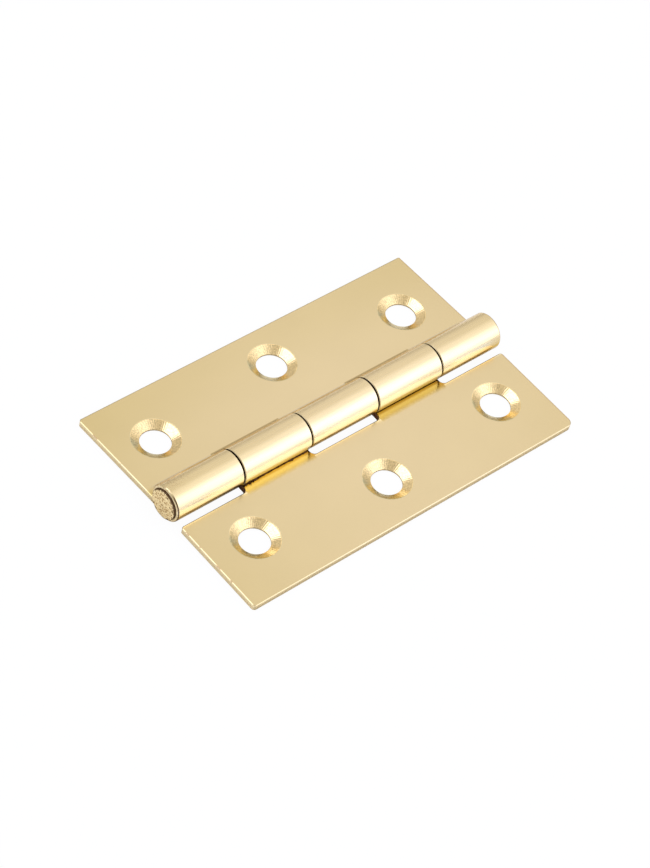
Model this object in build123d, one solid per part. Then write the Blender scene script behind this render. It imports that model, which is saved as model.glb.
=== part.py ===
"""Butt hinge with five rolled knuckles: two pressed sheet leaves and a headed pin.

Millimetres. Pin axis along Y, the headed end of the pin at -Y; the two-knuckle leaf on +X, the
three-knuckle leaf on -X, +Z up. The hinge lies opened out on a flat surface, as it rests by itself:
on the underside of its knuckles and on the two outer edges, so both leaves droop a little.
"""

import os
from math import asin, atan2, cos, degrees, hypot, pi, radians, sin, sqrt

from build123d import *

# leaf blanks
LEAF_LENGTH = 75.0          # along the pin
LEAF_REACH = 24.0           # pin axis to the outer edge of a leaf
SHEET = 1.2                 # sheet thickness
AXIS_ABOVE_FACE = 1.9       # pin axis above the countersunk face of a leaf
ARRIS_IN = 0.13             # broken top arris that the blanking die leaves, across the face
ARRIS_DOWN = 0.08           # and down the edge

# knuckles, measured from the middle of the leaf along the pin
INNER_GAP_AT = 7.75         # middle of the gaps on either side of the middle knuckle
OUTER_GAP_AT = 23.1         # middle of the gaps next to the end knuckles
GAP = 0.32                  # play between neighbouring knuckles
PIN_RADIUS = 2.30
RUNNING_CLEARANCE = 0.04    # radial, in the knuckles of the leaf that swings
SWAGE_RADIUS = 2.0          # reverse bend between the flat leaf and the roll, on mid-sheet
SEAM_BELOW_AXIS = 28.5      # degrees below horizontal where the free end of the roll stops
KNUCKLE_ARRIS = 0.12        # broken edge at the inner ends of the knuckles
HEADED_END_PROUD = 0.42     # the blow that heads the pin spreads the first knuckle past its leaf
HEADED_END_ROUND = 0.45     # and rounds it over
PLAIN_END_ROUND = 0.30      # the other end of the barrel

# cut-outs that clear the other leaf's knuckles, depth from the pin axis
NOTCH_THREE = 5.3
NOTCH_TWO = 4.4
NOTCH_CORNER = 1.0

# outer corners of the blanks
CORNER_THREE = (0.6, 0.3)   # three-knuckle leaf: headed end, plain end
CORNER_TWO = (0.6, 1.3)     # two-knuckle leaf: headed end, plain end
CORNER_SLOT = 0.5           # two-knuckle leaf: inner corners beside the end knuckles

# countersunk holes
HOLE_RADIUS = 2.85
SINK_RADIUS = 4.5
SINK_DEPTH = 0.9
RIM_ROUND = 0.10
# centres from the pin axis and along the pin, each as far off its row as the gang punch left it
HOLES_THREE = ((13.45, -28.75), (16.25, 0.0), (13.1, 28.45))
HOLES_TWO = ((12.9, -28.1), (15.45, -0.15), (12.7, 28.65))

# pin
HEAD_RADIUS = 2.9
HEAD_STAND = 0.85           # how far the head stands past the end of the barrel
HEAD_GAP = 0.05             # between the head and the end of the knuckle
HEAD_CROWN = 0.12           # the head's face is slightly domed
HEAD_EDGE = 0.10
PIN_END_INSET = 0.35        # plain end, inside the last knuckle
PIN_END_CHAMFER = 0.25

# derived
HALF = LEAF_LENGTH / 2
BORE_TWO = PIN_RADIUS + RUNNING_CLEARANCE
BORE_THREE = PIN_RADIUS
AXIS_HEIGHT = BORE_TWO + SHEET
BACK = AXIS_ABOVE_FACE + SHEET
DROOP = asin(AXIS_HEIGHT / hypot(LEAF_REACH, BACK)) - atan2(BACK, LEAF_REACH)
MIDDLE = HEAD_STAND / 2     # the leaves' middle, so that the whole length is centred on the origin

THREE_KNUCKLES = (
    (-HALF - HEADED_END_PROUD, -OUTER_GAP_AT - GAP / 2),
    (-INNER_GAP_AT + GAP / 2, INNER_GAP_AT - GAP / 2),
    (OUTER_GAP_AT + GAP / 2, HALF),
)
TWO_KNUCKLES = (
    (-OUTER_GAP_AT + GAP / 2, -INNER_GAP_AT - GAP / 2),
    (INNER_GAP_AT + GAP / 2, OUTER_GAP_AT - GAP / 2),
)
ROUNDED_ENDS = {THREE_KNUCKLES[0][0]: HEADED_END_ROUND, THREE_KNUCKLES[-1][1]: PLAIN_END_ROUND}


def along(profile, start, stop):
    """Extrude a face drawn in XZ from y = start to y = stop."""
    solid = extrude(Plane.XZ * profile, amount=start - stop)
    return Pos(0, start, 0) * solid


def swage_start(bore):
    """Distance from the axis at which the flat leaf begins to dip under the pin."""
    roll = bore + SHEET / 2
    drop = AXIS_ABOVE_FACE + SHEET / 2 + SWAGE_RADIUS
    return sqrt((roll + SWAGE_RADIUS) ** 2 - drop**2)


def roll_face(bore):
    """Section of the dip and the rolled knuckle, drawn in XZ for a leaf on +X.

    From the flat leaf the sheet bends down through a short reverse bend, passes under the pin,
    rises on the far side, comes over the top and stops just above the leaf it left.
    """
    outer = bore + SHEET
    flat = swage_start(bore)
    low = AXIS_ABOVE_FACE + SHEET / 2 + SWAGE_RADIUS
    tilt = atan2(flat, low)             # direction from the pin axis to the centre of the reverse bend
    seam = radians(-SEAM_BELOW_AXIS)

    def around(radius, angle):
        return (radius * cos(angle), radius * sin(angle))

    def bend(radius, turn):
        return (flat - radius * sin(turn), -low + radius * cos(turn))

    join = -pi / 2 + tilt
    over = seam - 2 * pi
    top_bend, back_bend = SWAGE_RADIUS + SHEET / 2, SWAGE_RADIUS - SHEET / 2
    edges = [
        Line((flat, -AXIS_ABOVE_FACE), (flat, -BACK)),
        ThreePointArc((flat, -BACK), bend(back_bend, tilt / 2), around(outer, join)),
        ThreePointArc(around(outer, join), around(outer, (join - pi) / 2 - pi / 4), around(outer, -pi)),
        ThreePointArc(around(outer, -pi), around(outer, (over - pi) / 2), around(outer, over)),
        Line(around(outer, over), around(bore, over)),
        ThreePointArc(around(bore, over), around(bore, (over - pi) / 2), around(bore, -pi)),
        ThreePointArc(around(bore, -pi), around(bore, (join - pi) / 2 - pi / 4), around(bore, join)),
        ThreePointArc(around(bore, join), bend(top_bend, tilt / 2), (flat, -AXIS_ABOVE_FACE)),
    ]
    return make_face(edges)


def countersink():
    """Cutter for one screw hole, its top at z = 0 on the countersunk face."""
    slope = (SINK_RADIUS - HOLE_RADIUS) / SINK_DEPTH
    over = SHEET
    rim = RIM_ROUND
    section = Polyline(
        (0, over),
        (SINK_RADIUS + rim, over),
        (SINK_RADIUS + rim, 0),
        (SINK_RADIUS - slope * rim / 2, -rim / 2),
        (HOLE_RADIUS, -SINK_DEPTH),
        (HOLE_RADIUS, -SHEET - over),
        (0, -SHEET - over),
        close=True,
    )
    return revolve(Plane.XZ * make_face(section), axis=Axis.Z)


def plate(outline, corners, holes, broken_from):
    """Flat part of a leaf on +X from its plan outline, its given corners rounded, holes cut.

    The top arris is broken on the edges whose middle lies further out than broken_from.
    """
    face = make_face(Polyline(*outline, close=True))
    for (x, y), radius in corners:
        here = min(face.vertices(), key=lambda v: hypot(v.X - x, v.Y - y))
        face = fillet(here, radius)
    solid = extrude(face, amount=SHEET)
    solid = Pos(0, 0, -BACK) * solid
    top = solid.faces().sort_by(Axis.Z)[-1]
    sheared = [e for e in top.edges() if e.center().X > broken_from]
    solid = chamfer(sheared, ARRIS_IN, ARRIS_DOWN, reference=top)
    cutter = countersink()
    for x, y in holes:
        solid -= Pos(x, y, -AXIS_ABOVE_FACE) * cutter
    return solid


def rolled(bore, knuckles):
    """The knuckles of one leaf on +X, their end arrises eased."""
    out = []
    for start, stop in knuckles:
        knuckle = along(roll_face(bore), start, stop)
        for end in (start, stop):
            ring = [
                e for e in knuckle.edges()
                if abs(e.center().Y - end) < GAP / 10
                and e.geom_type == GeomType.CIRCLE
                and abs(e.radius - bore - SHEET) < GAP / 10
                and hypot(e.arc_center.X, e.arc_center.Z) < GAP / 10
            ]
            if end in ROUNDED_ENDS:
                knuckle = fillet(ring, ROUNDED_ENDS[end])
            else:
                knuckle = chamfer(ring, KNUCKLE_ARRIS)
        out.append(knuckle)
    return out


def leaf(bore, knuckles, holes, broken_from, outline, corners):
    """One whole leaf on +X: its plate with its knuckles rolled on."""
    solid = plate(outline, corners, holes, broken_from)
    for knuckle in rolled(bore, knuckles):
        solid += knuckle
    return solid.clean()


def outline_three(flat):
    """Plan of the three-knuckle blank: tongues to knuckles 1, 3 and 5, notches for 2 and 4."""
    points, corners = [], []
    points += [(LEAF_REACH, -HALF), (flat, -HALF)]
    for (_, end), (start, _) in zip(THREE_KNUCKLES, THREE_KNUCKLES[1:]):
        points += [(flat, end), (NOTCH_THREE, end), (NOTCH_THREE, start), (flat, start)]
        corners += [((NOTCH_THREE, end), NOTCH_CORNER), ((NOTCH_THREE, start), NOTCH_CORNER)]
    points += [(flat, HALF), (LEAF_REACH, HALF)]
    near, far = CORNER_THREE
    corners += [((LEAF_REACH, -HALF), near), ((LEAF_REACH, HALF), far)]
    return points, corners


def outline_two(flat):
    """Plan of the two-knuckle blank: cut back beside knuckles 1, 3 and 5, tongues to 2 and 4."""
    points, corners = [(LEAF_REACH, -HALF), (NOTCH_TWO, -HALF)], []
    for start, end in TWO_KNUCKLES:
        points += [(NOTCH_TWO, start), (flat, start), (flat, end), (NOTCH_TWO, end)]
        corners += [((NOTCH_TWO, start), NOTCH_CORNER), ((NOTCH_TWO, end), NOTCH_CORNER)]
    points += [(NOTCH_TWO, HALF), (LEAF_REACH, HALF)]
    near, far = CORNER_TWO
    corners += [((LEAF_REACH, -HALF), near), ((LEAF_REACH, HALF), far)]
    corners += [((NOTCH_TWO, -HALF), CORNER_SLOT), ((NOTCH_TWO, HALF), CORNER_SLOT)]
    return points, corners


def pin():
    """Wire pin lying along Y, turned from its section: plain far end, spread head at -Y."""
    face = -HALF - HEAD_STAND
    under = -HALF - HEADED_END_PROUD - HEAD_GAP
    tip = HALF - PIN_END_INSET
    shank = PIN_RADIUS
    edge = HEAD_RADIUS - HEAD_EDGE
    quarter = HEAD_EDGE * (1 - sqrt(0.5))
    dome = (edge**2 + HEAD_CROWN**2) / (2 * HEAD_CROWN)
    half_way = asin(edge / dome) / 2
    section = [
        ThreePointArc(
            (0, face),
            (dome * sin(half_way), face + dome * (1 - cos(half_way))),
            (edge, face + HEAD_CROWN),
        ),
        ThreePointArc(
            (edge, face + HEAD_CROWN),
            (HEAD_RADIUS - quarter, face + HEAD_CROWN + quarter),
            (HEAD_RADIUS, face + HEAD_CROWN + HEAD_EDGE),
        ),
        Line((HEAD_RADIUS, face + HEAD_CROWN + HEAD_EDGE), (HEAD_RADIUS, under)),
        Line((HEAD_RADIUS, under), (shank, under)),
        Line((shank, under), (shank, tip - PIN_END_CHAMFER)),
        Line((shank, tip - PIN_END_CHAMFER), (shank - PIN_END_CHAMFER, tip)),
        Line((shank - PIN_END_CHAMFER, tip), (0, tip)),
        Line((0, tip), (0, face)),
    ]
    return revolve(make_face(section), axis=Axis.Y)


def hang(solid, side):
    """Put a leaf drawn flat on +X on its side of the pin, drooped to its resting angle."""
    if side < 0:
        solid = mirror(solid, about=Plane.YZ)
    solid = Rot(0, side * degrees(DROOP), 0) * solid
    return Pos(0, MIDDLE, AXIS_HEIGHT) * solid


# the arris stays sharp in the notches of the three-knuckle leaf and where a tongue meets its roll
flat_three, flat_two = swage_start(BORE_THREE), swage_start(BORE_TWO)
broken_three, broken_two = NOTCH_THREE + ARRIS_IN, flat_two + SHEET / 10
three = hang(leaf(BORE_THREE, THREE_KNUCKLES, HOLES_THREE, broken_three, *outline_three(flat_three)), -1)
two = hang(leaf(BORE_TWO, TWO_KNUCKLES, HOLES_TWO, broken_two, *outline_two(flat_two)), 1)
wire = Pos(0, MIDDLE, AXIS_HEIGHT) * pin()

os.makedirs("parts", exist_ok=True)
for name, solid in (("three_knuckle_leaf", three), ("two_knuckle_leaf", two), ("hinge_pin", wire)):
    solid.label = name
    export_step(solid, f"parts/{name}.step")
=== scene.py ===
from math import cos, pi, radians, sin

import bpy
import numpy as np
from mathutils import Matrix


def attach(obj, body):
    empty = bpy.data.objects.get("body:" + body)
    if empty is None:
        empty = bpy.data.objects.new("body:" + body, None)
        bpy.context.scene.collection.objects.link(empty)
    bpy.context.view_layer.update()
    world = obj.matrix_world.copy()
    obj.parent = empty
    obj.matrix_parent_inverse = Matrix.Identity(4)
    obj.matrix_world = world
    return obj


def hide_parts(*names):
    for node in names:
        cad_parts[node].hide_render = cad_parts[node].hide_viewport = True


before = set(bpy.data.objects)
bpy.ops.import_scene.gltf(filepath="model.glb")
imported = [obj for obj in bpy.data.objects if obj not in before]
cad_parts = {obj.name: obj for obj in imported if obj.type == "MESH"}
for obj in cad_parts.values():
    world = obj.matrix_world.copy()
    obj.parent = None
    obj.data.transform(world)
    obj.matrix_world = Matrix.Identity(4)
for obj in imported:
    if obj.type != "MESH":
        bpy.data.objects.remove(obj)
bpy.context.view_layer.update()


# The bench and the lights
# A plain white worktop in a pale room. A large soft box stands low beyond the swinging leaf, a
# smaller one hangs high off the near corner of the fixed leaf, and white card fills in from behind.

WALLS = (1.0, 1.0, 1.05, 1.0)
WALL_LEVEL = 0.66
LAMPS = (0.90, 1.00, 1.38, 1.0)
WORKTOP = (0.86, 0.86, 0.86, 1.0)
WHITE = (1.0, 1.0, 1.0, 1.0)
BENCH_HALF = 1.5                                # m, half the worktop's side
SEEN_WHITE, MIRRORED_WHITE = 0.96, 0.08         # how white the worktop looks, directly and in the brass
FOCAL, SENSOR, NEAREST = 120.656, 36.0, 0.01    # mm, mm and m
CAMERA_AT = (0.211951, -0.269200, 0.378445)     # m
CAMERA_TURNS = (41.0510, -9.8463, 49.3564)      # degrees


class Tone:
    """A value, colour or vector on one node socket; arithmetic on it adds Math nodes."""

    def __init__(self, nodes, socket):
        self.nodes, self.socket = nodes, socket

    def worked(self, operation, *values):
        return self.nodes.node("ShaderNodeMath", {"operation": operation}, dict(enumerate(values)))

    def __add__(self, other): return self.worked("ADD", self, other)
    def __radd__(self, other): return self.worked("ADD", other, self)
    def __sub__(self, other): return self.worked("SUBTRACT", self, other)
    def __rsub__(self, other): return self.worked("SUBTRACT", other, self)
    def __mul__(self, other): return self.worked("MULTIPLY", self, other)
    def __rmul__(self, other): return self.worked("MULTIPLY", other, self)
    def __pow__(self, other): return self.worked("POWER", self, other)
    def __abs__(self): return self.worked("ABSOLUTE", self)
    def __lt__(self, other): return self.worked("LESS_THAN", self, other)
    def __gt__(self, other): return self.worked("GREATER_THAN", self, other)


class Nodes:
    """The node tree of one material or of the room."""

    def __init__(self, tree):
        self.tree = tree
        tree.nodes.clear()

    def node(self, kind, settings=None, sockets=None, output=0):
        """Add a node, set its settings, then fill its sockets with values or links. Gives the tone on
        the output asked for, or a list of them for a tuple of outputs."""
        made = self.tree.nodes.new(kind)
        for name, value in (settings or {}).items():
            setattr(made, name, value)
        for name, value in (sockets or {}).items():
            if isinstance(value, Tone):
                self.tree.links.new(value.socket, made.inputs[name])
            else:
                made.inputs[name].default_value = value
        if isinstance(output, tuple):
            return [Tone(self, made.outputs[which]) for which in output]
        return Tone(self, made.outputs[output]) if made.outputs else None

    def ease(self, value, start, end, low=0.0, high=1.0):
        """A smooth step from low at start to high at end."""
        return self.node("ShaderNodeMapRange", {"interpolation_type": "SMOOTHSTEP"},
                         {"Value": value, "From Min": start, "From Max": end,
                          "To Min": low, "To Max": high})


def new_finish(name):
    """A material with its nodes cleared, and those nodes."""
    material = bpy.data.materials.new(name)
    material.use_nodes = True
    return material, Nodes(material.node_tree)


def put(name, data):
    """A new object in the scene, unturned at the origin."""
    made = bpy.data.objects.new(name, data)
    bpy.context.scene.collection.objects.link(made)
    return made


def towards(azimuth, elevation):
    """Unit vector to a point of the room; azimuth 0 is off the near end of the pin, 90 off the
    swinging leaf."""
    a, e = radians(azimuth), radians(elevation)
    return (sin(a) * cos(e), -cos(a) * cos(e), sin(e))


room = bpy.data.worlds.new("pale_room")
room.use_nodes = True
bpy.context.scene.world = room
air = Nodes(room.node_tree)
looking = air.node("ShaderNodeTexCoord", None, None, "Generated")


def glow(azimuth, elevation, inner, outer, level):
    """A lamp seen from the bench: full inside one angle, nothing past another."""
    nearness = air.node("ShaderNodeVectorMath", {"operation": "DOT_PRODUCT"},
                        {0: looking, 1: towards(azimuth, elevation)}, "Value")
    return air.ease(nearness, cos(radians(outer)), cos(radians(inner)), 0.0, level)


soft_box = (glow(azimuth=110, elevation=21, inner=0, outer=51, level=1.38)
            + glow(azimuth=140, elevation=46, inner=13, outer=47, level=0.40))
small_box = glow(azimuth=-50, elevation=55, inner=15, outer=28, level=1.65)
card = glow(azimuth=219, elevation=55, inner=20, outer=53, level=0.30)
walls = air.node("ShaderNodeBackground", None, {"Color": WALLS, "Strength": WALL_LEVEL + card})
lamps = air.node("ShaderNodeBackground", None, {"Color": LAMPS, "Strength": soft_box + small_box})
air.node("ShaderNodeOutputWorld", None,
         {"Surface": air.node("ShaderNodeAddShader", None, {0: walls, 1: lamps})})

bench_mesh = bpy.data.meshes.new("bench")
corners = np.array([(-1, -1, 0), (1, -1, 0), (1, 1, 0), (-1, 1, 0)])
bench_mesh.from_pydata((BENCH_HALF * corners).tolist(), [], [(0, 1, 2, 3)])
bench = put("bench", bench_mesh)

white_top, top = new_finish("white_top")
seen, mirrored, through = top.node("ShaderNodeLightPath", None, None,
                                   ("Is Camera Ray", "Is Glossy Ray", "Is Transmission Ray"))
matt = top.node("ShaderNodeBsdfDiffuse", None, {"Color": WORKTOP})
bright = top.node("ShaderNodeEmission", None, {"Color": WHITE, "Strength": 1.0})
share = SEEN_WHITE * seen + SEEN_WHITE * through + MIRRORED_WHITE * mirrored
top.node("ShaderNodeOutputMaterial", None,
         {"Surface": top.node("ShaderNodeMixShader", None, {0: share, 1: matt, 2: bright})})
bench_mesh.materials.append(white_top)

lens = bpy.data.cameras.new("camera")
lens.lens, lens.sensor_width, lens.clip_start = FOCAL, SENSOR, NEAREST
camera = put("camera", lens)
camera.location = CAMERA_AT
camera.rotation_euler = [radians(turn) for turn in CAMERA_TURNS]
bpy.context.scene.camera = camera
bpy.context.scene.view_settings.view_transform = "Standard"


# The two leaves
# Blanked from 1.2 mm steel strip, the tongues rolled round the pin, then countersunk and plated
# with bright brass. The flats stay satin, the rolls keep draw lines, the sheared edges are rough.

BRASS = (0.814, 0.641, 0.350, 1.0)
DEEP_SHADE = (0.700, 0.540, 0.235, 1.0)       # painted shade: deeper brass towards the leaves' ends and outer edges, and on the backs of the rolls
PALE_HIGHLIGHT = (0.84, 0.76, 0.53, 1.0)          # painted highlight: paler lower front of the rolls
AMBER_SHADE = (0.72, 0.48, 0.08, 1.0)         # painted shade and reflection: deep amber along the seams and under the rolls
COUNTERSUNK = (0.88, 0.655, 0.31, 1.0)  # cones, burnished by the cutter
OLIVE_SHADE = (0.72, 0.62, 0.34, 1.0)         # painted shade on the cones' rims and near sides
RIM_HIGHLIGHT = (1.0, 0.88, 0.55, 1.0)            # painted highlight along the edge of the two-knuckle leaf's notches
NOTCH_SHADE = (0.40, 0.28, 0.10, 1.0)       # painted shade along the edge of the three-knuckle leaf's notches
CORNER_SHADE = (0.50, 0.46, 0.38, 1.0)         # painted shade in the corner behind the rolls and on their back edges
SHEARED = (0.80, 0.64, 0.34, 1.0)       # cut faces along the leaf
END_CUT = (0.86, 0.70, 0.39, 1.0)       # cut faces at the ends, which the plating reached better
BARE_SHADE = (0.22, 0.085, 0.04, 1.0)         # painted shade: dark brown in the notches and on the knuckle ends
CHIPPED_AND_SHADE = (0.42, 0.24, 0.10, 1.0)       # nicks and mottling worn through to the steel, a dark line at the far ends, and painted shade in the crease, at the seam ends and along the notch brink
GRAZED = (0.97, 0.88, 0.72, 1.0)        # brass seen at a glancing angle keeps its colour
LACQUER = 0.10                          # roughness of the clear coat

AXIS_HEIGHT = 3.54       # mm, pin axis above the bench
DROOP = radians(1.0517)  # each leaf falls this much towards its outer edge
MIDDLE = 0.425           # mm, middle of the leaves along the pin
HALF = 37.5              # mm, half a leaf's length
REACH = 23.96            # mm from the axis, outer edge of a leaf
FACE = -1.9              # mm, countersunk face from the axis
SHEET = 1.2              # mm
BARREL = 3.54            # mm, outer radius of the rolls
INNER_GAP, OUTER_GAP = 7.75, 23.1  # mm from the middle, gaps between the knuckles
NOTCH_REACH = 6.2        # mm from the axis, clear of the bottoms of the notches
CREASE = 0.17            # mm past the leaf's end, fold in the headed knuckle's rounded shoulder
FOOT = (4.8, 5.5)        # mm from the axis, corner where the rolls rise from the flat
SHADED_SEAM_ENDS = (-8.0, 22.9)      # mm along the pin, ends of the seams, given painted shade
SINK = 4.6               # mm, radius of a countersink with its rounded rim
HOLE_ZONE = 15.0         # mm from the middle, past which the nearest hole is one of the end ones
TO_NEAR = (0.45, 0.89)   # from a hole to its near side, across the pin and back along it
RING_PITCH = 0.21        # mm between the cutter's rings in a cone
CHATTER = 61.0           # marks of the chattering cutter round a cone
BURNISHED, TORN = 0.30, 0.45  # shares of the sheet's thickness, end of the smooth band and full tear

SIDES = {"three_knuckle_leaf": -1, "two_knuckle_leaf": 1}
NOTCHED_TO = {"three_knuckle_leaf": 5.3, "two_knuckle_leaf": 4.4}  # mm from the axis
HOLES = {"three_knuckle_leaf": ((13.45, -28.75), (16.25, 0.0), (13.1, 28.45)),
         "two_knuckle_leaf": ((12.9, -28.1), (15.45, -0.15), (12.7, 28.65))}  # mm out and along the pin


def measured(nodes):
    """Place on the object in mm, as a vector and as x, y and z."""
    place = nodes.node("ShaderNodeVectorMath", {"operation": "SCALE"},
                       {0: nodes.node("ShaderNodeTexCoord", None, None, "Object"), "Scale": 1000.0})
    return [place] + nodes.node("ShaderNodeSeparateXYZ", None, {0: place}, (0, 1, 2))


def noise(nodes, place, scale, stretch=(1.0, 1.0, 1.0), detail=4.0):
    """Cloudy pattern, so many to the millimetre in each direction."""
    drawn = nodes.node("ShaderNodeMapping", None, {"Vector": place, "Scale": stretch})
    return nodes.node("ShaderNodeTexNoise", None, {"Vector": drawn, "Scale": scale, "Detail": detail})


def blend(nodes, amount, plain, other):
    """The plain colour at amount 0, the other at 1."""
    return nodes.node("ShaderNodeMix", {"data_type": "RGBA"}, {0: amount, 6: plain, 7: other}, 2)


def brassed_sheet(name, side, notched_to, holes):
    """Finish of one leaf, drawn in the leaf's own axes in mm: u out from the pin, v up, w along the
    pin. A mask such as rolled or sunk is 1 on the place that it is named for and 0 elsewhere."""
    material, n = new_finish(name)
    fixed = side < 0
    place, x, y, z = measured(n)
    facing = n.node("ShaderNodeTexCoord", None, None, "Normal")
    nx, ny, nz = n.node("ShaderNodeSeparateXYZ", None, {0: facing}, (0, 1, 2))
    out, up = x * side, z - AXIS_HEIGHT
    u = out * cos(DROOP) - up * sin(DROOP)
    v = out * sin(DROOP) + up * cos(DROOP)
    w = y - MIDDLE
    lift = nx * (side * sin(DROOP)) + nz * cos(DROOP)  # 1 on the countersunk face, -1 on the back

    # draw lines along the pin, slow waves of the roll, speckle, cloudiness, grain and nicks
    lines = noise(n, place, 5.0, (1.0, 0.045, 1.0))
    waves = noise(n, place, 1.1, (1.0, 0.05, 1.0), 2.0)
    speck = noise(n, place, 3.5)
    cloud = noise(n, place, 0.11, detail=2.0)
    grain = noise(n, place, 9.0, detail=5.0)
    nicks = noise(n, place, 0.5, detail=8.0)

    # the tongues that are rolled into knuckles, and the nearest of the three holes
    end = abs(w)
    inner, outer = end < INNER_GAP, end > OUTER_GAP
    tongue = inner + outer if fixed else 1 - inner - outer
    gap = 1 - tongue
    near, far = w < -HOLE_ZONE, w > HOLE_ZONE
    near_hole, middle_hole, far_hole = holes
    du, dw = (here - (near_hole[i] * near + far_hole[i] * far + middle_hole[i] * (1 - near - far))
              for i, here in enumerate((u, w)))
    rho = (du * du + dw * dw) ** 0.5
    phi = n.node("ShaderNodeMath", {"operation": "ARCTAN2"}, {0: dw, 1: du})

    # countersinks, with rings and chatter from the cutter; the backs of the leaves show none
    showing = n.ease(lift, -0.9, -0.7)
    sunk = n.ease(rho, SINK - 0.02, SINK - 0.10) * showing
    # painted shade: the cones' rims and near sides are toned olive and darker
    bead = n.ease(rho, SINK + 0.08, SINK) * n.ease(rho, SINK - 0.16, SINK - 0.08) * showing
    near_side_shade = n.ease(du * (TO_NEAR[0] * side) - dw * TO_NEAR[1], 1.2, 2.8)
    rings = n.node("ShaderNodeMath", {"operation": "SINE"},
                   {0: rho * (2 * pi / RING_PITCH) + speck * 4.0})
    chatter = n.node("ShaderNodeMath", {"operation": "SINE"},
                     {0: phi * CHATTER + rho * 2.5 + speck * 3.0})

    # rolls, cut faces and flats
    rolled = n.ease((u * u + v * v) ** 0.5, BARREL + 0.16, BARREL + 0.06)
    plain = (1 - rolled) * (1 - sunk)
    upright = n.ease(abs(lift), 0.5, 0.3)
    # painted shade: the straight walls of the holes are darker
    land_shade = sunk * upright
    end_face = n.ease(abs(ny), 0.7, 0.9) * (1 - sunk)
    cut = n.node("ShaderNodeMath", {"operation": "MAXIMUM"}, {0: end_face, 1: upright * plain})
    flat = (1 - cut) * plain
    roll_face = rolled * (1 - cut)

    # edges: a burnished band under the face and torn metal below it, painted shade in the notches, a
    # painted highlight along the swinging leaf's notch rims and painted shade along the fixed leaf's,
    # painted shade on the outer edge and in the crease, broken arrises
    torn = n.ease(v + (speck - 0.5) * 0.35, FACE - BURNISHED * SHEET, FACE - TORN * SHEET)
    # painted shade in the notches and on the knuckle ends
    notch_shade = cut * n.ease(u, NOTCH_REACH + 0.2, NOTCH_REACH - 0.2) * n.ease(end, HALF - 0.3, HALF - 0.6)
    plate_end = end_face * n.ease(u, 3.2, 4.0)
    arris = plain * n.ease(lift, 0.78, 0.82) * n.ease(lift, 0.93, 0.90)
    chipped = arris * n.ease(end, HALF - 0.4, HALF - 0.2) * n.ease(nicks, 0.60, 0.64)
    # painted highlight along the swinging leaf's notch edges, painted shade along the fixed leaf's;
    # brink is a painted dark line on the swinging leaf's
    rim = flat * gap * n.ease(u, notched_to + (0.33 if fixed else 0.45), notched_to + 0.2)
    brink_shade = 0.0 if fixed else flat * gap * n.ease(u, notched_to + 0.20, notched_to + 0.10) * 0.7
    # painted shade: the fixed leaf's outer edge is darker
    outer_edge_shade = (flat + cut) * n.ease(u, REACH - 0.20, REACH - 0.10) if fixed else 0.0
    far_rim = n.ease(w, HALF - 0.32, HALF - 0.18) * (flat * 0.5 + roll_face * 0.6)
    hammered = n.ease(w, -HALF, -HALF - 0.1) * (1 - plate_end)
    # painted shade: a dark arc along the crease in the headed knuckle's shoulder
    crease_shade = n.ease(abs(w + HALF + CREASE), 0.15, 0.06) * n.ease(u, -1.0, -2.2) if fixed else 0.0

    # painted highlight and shade on the rolls, at their feet and along the seams, and mottling on the
    # rolls
    front = rolled * n.ease(x, 0.5, 1.5)
    # painted shade: the backs of the rolls are deepened in colour
    back_shade = rolled * n.ease(x, -1.3, -1.9)
    shoulder = n.ease(v, 0.8, 1.5)
    # painted shade: the back edge of each roll is darker
    back_edge_shade = rolled * n.ease(x, -2.6, -3.0) * shoulder
    # painted highlight: the lower front of each roll is paler
    front_highlight = front * n.ease(v, 1.9, 1.0) * n.ease(w, HALF - 1.0, HALF - 5.0)
    mottled = roll_face * n.ease(speck, 0.51, 0.60) * (
        n.ease(x, -0.6, -2.6) * shoulder * 0.45 + n.ease(w, -31.0, -36.0) * n.ease(x, 1.5, -1.0) * 0.35)
    # painted shade: a dark line in the corner where the rolls rise from the flat
    foot_shade = flat * tongue * n.ease(u, FOOT[0], FOOT[0] + 0.2) * n.ease(u, FOOT[1], FOOT[1] - 0.25) \
        * n.ease(end, HALF - 0.5, HALF - 3.0) if fixed else 0.0
    # painted shade: the undersides of the rolls are amber and darker, most under the near knuckle
    under_shade = front * (n.ease(v, 0.35, -0.55) if fixed else n.ease(v, -0.2, -1.2))
    near_under_shade = under_shade * n.ease(w, -34.0, -24.0) * n.ease(w, -10.0, -20.0) * 0.7 if fixed else 0.0
    far_under_shade = front * n.ease(v, 1.4, 0.2) * n.ease(w, 28.0, 35.0)
    # painted shade and reflection: the strip beside each seam is deep amber and darker
    seam_shade = tongue * (1 - cut) * n.ease(v, -0.9, -1.5) * n.ease(u, 2.4, 2.9) \
        * n.ease(u + (speck - 0.5) * 0.8, 5.5, 4.3)
    # painted shade: browner at the seams' ends
    seam_end_shade = seam_shade * (n.ease(abs(w - SHADED_SEAM_ENDS[0]), 1.6, 0.3) + n.ease(abs(w - SHADED_SEAM_ENDS[1]), 1.6, 0.3))

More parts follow.
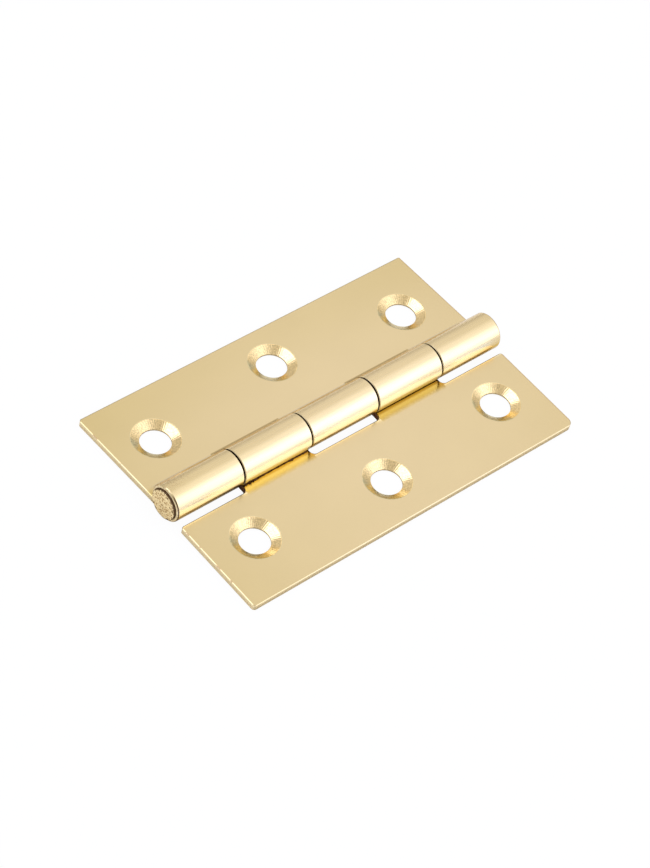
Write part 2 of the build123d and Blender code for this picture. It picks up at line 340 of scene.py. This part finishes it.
    # colour, each layer laid over the one before
    # painted shade: the flats darken towards the ends and, on the fixed leaf, towards the outer edge
    edge_falloff_shade = (w * w) * (0.4 / HALF ** 2) - w * (0.1 / HALF) \
        + n.ease(u, 8.0, 24.0) * (0.4 if fixed else 0.05)
    seam_and_under_shade = (seam_shade * 0.4 + under_shade * 0.8 if fixed else seam_shade * 0.9) + far_under_shade * 0.35
    cone = blend(n, near_side_shade, COUNTERSUNK, OLIVE_SHADE)
    edged = blend(n, notch_shade, blend(n, plate_end, SHEARED, END_CUT), BARE_SHADE)
    marks_and_shade = (mottled + far_rim + brink_shade + chipped * 0.8 + crease_shade * 0.9 + seam_end_shade * 0.3
              + hammered * n.ease(speck, 0.5, 0.58) * 0.5)
    tint = BRASS
    for amount, layer in ((edge_falloff_shade, DEEP_SHADE), (front_highlight, PALE_HIGHLIGHT), (back_shade * 0.3, DEEP_SHADE), (seam_and_under_shade, AMBER_SHADE),
                          (sunk, cone), (bead * 0.25, OLIVE_SHADE), (rim * 0.75, NOTCH_SHADE if fixed else RIM_HIGHLIGHT),
                          (foot_shade * 0.5 + back_edge_shade * 0.6, CORNER_SHADE), (cut, edged), (marks_and_shade, CHIPPED_AND_SHADE)):
        tint = blend(n, amount, tint, layer)
    # darker: draw lines, pits and torn edges, plus painted shade on the fixed leaf's outer edge, the
    # long arrises, the crease, the cones' near sides, the hole walls, the seam strips and under the
    # near roll
    darker = (rolled * (lines - 0.5) * 0.14 + flat * n.ease(grain, 0.66, 0.74) * 0.10
              + cut * torn * (0.25 - plate_end * 0.15) + outer_edge_shade * 0.3
              + arris * n.ease(end, HALF - 0.2, HALF - 0.5) * 0.16 + crease_shade * 0.75
              + sunk * ((speck - 0.5) * 1.1 - chatter * 0.03 + near_side_shade * 0.10) + land_shade * 0.45
              + seam_shade * n.ease(w, -12.0, 8.0, 0.10, 0.26) + near_under_shade)
    colour = n.node("ShaderNodeVectorMath", {"operation": "SCALE"},
                    {0: tint, "Scale": 0.99 + (cloud - 0.5) * 0.05 - darker})

    rough = (flat * (0.24 + (cloud - 0.5) * 0.05 + (speck - 0.5) * 0.05)
             + roll_face * (0.27 + (lines - 0.5) * 0.12) + cut * (0.30 + torn * 0.18)
             + sunk * (0.11 + (grain - 0.5) * 0.12) + chipped * 0.2)
    height = (flat * (speck * 0.25 + lines * 0.15) + rolled * (lines * 0.8 + waves * 4.0 + speck * 0.5)
              + cut * grain * (1.0 + torn * 3.0) - chipped * 2.0
              + sunk * (rings * 0.25 + chatter * 0.7 + grain * 0.8))
    bump = n.node("ShaderNodeBump", None, {"Strength": 1.0, "Distance": 0.000004, "Height": height})
    coat = 0.40 - sunk * 0.3 - cut * 0.25 - under_shade * 0.25 - seam_shade * 0.15
    metal = n.node("ShaderNodeBsdfPrincipled", None,
                   {"Base Color": colour, "Metallic": 1.0, "Roughness": rough, "Normal": bump,
                    "Specular Tint": GRAZED, "Coat Weight": coat, "Coat Roughness": LACQUER})
    n.node("ShaderNodeOutputMaterial", None, {"Surface": metal})
    return material


for node, side in SIDES.items():
    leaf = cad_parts[node]
    leaf.data.materials.clear()
    leaf.data.materials.append(brassed_sheet("brassed_" + node, side, NOTCHED_TO[node], HOLES[node]))


# The pin
# A length of 4.6 mm steel wire, cropped at one end and spread to a head by hammering at the other,
# brass plated. It is pressed into the three-knuckle leaf and runs free in the other.

WIRE = 2.29                   # mm, radius, just inside the rolls' bores
HEAD_AT = -38.35              # mm, the head's face, along the pin from the leaves' middle
HEAD_UNDER = -37.97           # mm, where the head sits on the first knuckle
HEAD_RIM = 2.86               # mm, radius of the face
HEAD_SPREAD = 2.99            # mm, radius where it bears on the knuckle
TIP_AT = 37.15                # mm, cropped end
DOMED = 0.02                  # mm, fall of the face towards its rim
TURNS = 128                   # points round the pin
BLOWS = 120                   # dents left in each end
DENT, TIP_DENT = 0.05, 0.03   # mm, deepest single dent in the head and in the cropped end
RAGGED = 0.006                # share of the radius by which the torn edge of the head varies
SHARP = radians(40)           # edges sharper than this are not smoothed
HEAD_BRASS = (0.93, 0.74, 0.38, 1.0)
DULL_AND_SHADE = (0.075, 0.032, 0.012, 1.0)   # painted shade on the head's side and torn rim; also the burr's own dull brown
SPECKLED = (0.38, 0.21, 0.07, 1.0)  # pits in its hammered face


def skin(name, rings):
    """Closed mesh over rings of points, an array of ring, place in the ring, and x, y, z in mm from the
    pin axis at the leaves' middle. The rings follow each other towards +y and turn from +x to +z; a
    point at the middle of the first and of the last ring closes each end."""
    count, places = rings.shape[:2]
    points = np.vstack([rings.reshape(-1, 3), rings[0].mean(axis=0), rings[-1].mean(axis=0)])
    points = (points + (0.0, MIDDLE, AXIS_HEIGHT)) / 1000
    here = np.arange(count * places).reshape(count, places)
    beside = np.roll(here, -1, axis=1)
    walls = np.stack([here[:-1], here[1:], beside[1:], beside[:-1]], -1).reshape(-1, 4)
    first = np.stack([np.full(places, count * places), here[0], beside[0]], -1)
    last = np.stack([np.full(places, count * places + 1), beside[-1], here[-1]], -1)
    mesh = bpy.data.meshes.new(name)
    mesh.from_pydata(points.tolist(), [], walls.tolist() + first.tolist() + last.tolist())
    mesh.shade_smooth()
    mesh.set_sharp_from_angle(angle=SHARP)
    return put(name, mesh)


def turned(stations, turns):
    """Rings of a turned shape: at a station (y, r) the ring has radius r at y, and a place at turn t
    lies at (r cos t, y, r sin t)."""
    y, r = np.array(stations).T[:, :, None]
    t = np.linspace(0, 2 * pi, turns, endpoint=False)
    return np.stack([r * np.cos(t), y + 0 * t, r * np.sin(t)], -1)


def dented(rings, blows, depth):
    """Sink hammer blows into the rings along +y: each blow is a bell, its depth times
    exp(-(distance / width) squared), with the distance taken across the pin."""
    across, up, width, deep = blows
    away = (rings[..., 0, None] - across) ** 2 + (rings[..., 2, None] - up) ** 2
    sunk = rings.copy()
    sunk[..., 1] += depth * (deep * np.exp(-away / width ** 2)).sum(axis=-1)
    return sunk


hammer = np.random.default_rng(11)
blow_turn = hammer.uniform(0, 2 * pi, BLOWS)
blow_out = HEAD_RIM * hammer.uniform(0, 1, BLOWS) ** 0.5
blows = (blow_out * np.cos(blow_turn), blow_out * np.sin(blow_turn),
         hammer.uniform(0.12, 0.36, BLOWS), hammer.uniform(0.3, 1.0, BLOWS))

# outline from the head to the cropped end, each point a place along the pin and a radius
face = [(HEAD_AT + DOMED * (r / HEAD_RIM) ** 4, r) for r in np.linspace(0.1, HEAD_RIM - 0.05, 26)]
rim = [(HEAD_AT + 0.04, HEAD_RIM - 0.02), (HEAD_AT + 0.08, HEAD_RIM)]
skirt = np.linspace((HEAD_AT + 0.13, HEAD_RIM), (HEAD_UNDER, HEAD_SPREAD), 6).tolist()
shank = [(HEAD_UNDER, WIRE + 0.02), (HEAD_UNDER + 0.02, WIRE), (0.0, WIRE), (TIP_AT - 0.25, WIRE)]
crop = [(TIP_AT - 0.08, WIRE - 0.15), (TIP_AT, WIRE - 0.3)]
tip = [(TIP_AT, r) for r in np.linspace(1.8, 0.2, 9)]
wire_rings = turned(face + rim + skirt + shank + crop + tip, TURNS)

head = slice(0, len(face) + len(rim))
torn_edge = slice(len(face) + 1, len(face) + len(rim) + len(skirt) - 1)
wire_rings[head] = dented(wire_rings[head], blows, DENT)
swell = 1 + hammer.normal(0, RAGGED, (len(rim) + len(skirt) - 2, TURNS))
wire_rings[torn_edge, :, ::2] *= swell[:, :, None]
wire_rings[-len(tip):] = dented(wire_rings[-len(tip):], blows, -TIP_DENT)
pin = skin("hammered_pin", wire_rings)
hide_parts("hinge_pin")
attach(pin, "fixed_leaf")

brassed_wire, n = new_finish("brassed_wire")
place, x, y, z = measured(n)
w, r = y - MIDDLE, (x * x + (z - AXIS_HEIGHT) * (z - AXIS_HEIGHT)) ** 0.5
grains = noise(n, place, 3.2, detail=3.0)
scale = noise(n, place, 6.0, detail=3.0)
# painted shade: the head's side and torn rim are darkened, widening the dark band round it
rim_shade = n.ease(r + (grains - 0.5) * 1.2, HEAD_RIM - 0.16, HEAD_RIM - 0.04) * 0.85
behind_face = n.ease(w, HEAD_AT + 0.08, HEAD_AT + 0.12)
shaded_sides = n.node("ShaderNodeMath", {"operation": "MAXIMUM"}, {0: behind_face, 1: rim_shade}) \
    * n.ease(w, TIP_AT - 0.02, TIP_AT - 0.12)
pitted = n.ease(grains, 0.50, 0.60) * 0.85 + n.ease(scale, 0.55, 0.65) * 0.25
tint = blend(n, shaded_sides * 0.95, blend(n, pitted, HEAD_BRASS, SPECKLED), DULL_AND_SHADE)
bump = n.node("ShaderNodeBump", None,
              {"Strength": 1.0, "Distance": 0.00004, "Height": grains + scale * 0.4})
metal = n.node("ShaderNodeBsdfPrincipled", None,
               {"Base Color": tint, "Metallic": 1.0, "Roughness": 0.28 + scale * 0.2 + shaded_sides * 0.2,
                "Normal": bump, "Specular Tint": GRAZED})
n.node("ShaderNodeOutputMaterial", None, {"Surface": metal})
pin.data.materials.append(brassed_wire)


# The burr in a seam
# Where the second knuckle's roll closes on its leaf, the shearing left a ragged burr of steel,
# thickest near the pin head, that the plating only browned.

BURR_START, BURR_END = -22.7, -8.2  # mm along the pin
SEAM_OUT, SEAM_UP = 3.06, -1.80     # mm from the pin axis
CORE, SWOLLEN = 0.11, 0.20          # mm, its least radius, and what the ripples add at most
NEAR_LUMP = 0.26                    # length of its thick near part, as a share of the whole
SWELLINGS = ((0.40, 0.015, 0.5), (0.75, 0.025, 0.9), (0.90, 0.06, 0.25))  # place, width, fullness
RIPPLES = (4.3, 7.9, 13.7)          # radians per mm


def ragged(start, end, places, seed, turns=8):
    """Rings of a ragged rod along the seam: its radius is a core plus squared random ripples, times
    an envelope that is full at the near quarter and swells again at three places further on."""
    random = np.random.default_rng(seed)
    w = np.linspace(start, end, places)
    along = (w - start) / (end - start)
    ripple = sum(np.sin(w * f + p) for f, p in zip(RIPPLES, random.uniform(0, 2 * pi, 3))) / 3
    envelope = np.exp(-(along / NEAR_LUMP) ** 4) + sum(
        full * np.exp(-((along - at) / wide) ** 2) for at, wide, full in SWELLINGS)
    rough = 0.35 + 0.65 * ripple ** 2 + 0.3 * random.uniform(0, 1, places)
    r = (CORE + SWOLLEN * envelope * rough)[:, None]
    t = np.linspace(0, 2 * pi, turns, endpoint=False)
    lean = 1 + 0.3 * random.normal(0, 1, (places, turns))
    u, v = SEAM_OUT + 1.3 * r * np.cos(t) * lean, SEAM_UP + r * np.sin(t) * lean
    return np.stack([u * cos(DROOP) + v * sin(DROOP), w[:, None] + 0 * u,
                     -u * sin(DROOP) + v * cos(DROOP)], -1)


burr = skin("seam_burr", ragged(BURR_START, BURR_END, places=120, seed=5))
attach(burr, "swinging_leaf")

browned, n = new_finish("browned_burr")
metal = n.node("ShaderNodeBsdfPrincipled", None,
               {"Base Color": DULL_AND_SHADE, "Metallic": 1.0, "Roughness": 0.5})
n.node("ShaderNodeOutputMaterial", None, {"Surface": metal})
burr.data.materials.append(browned)
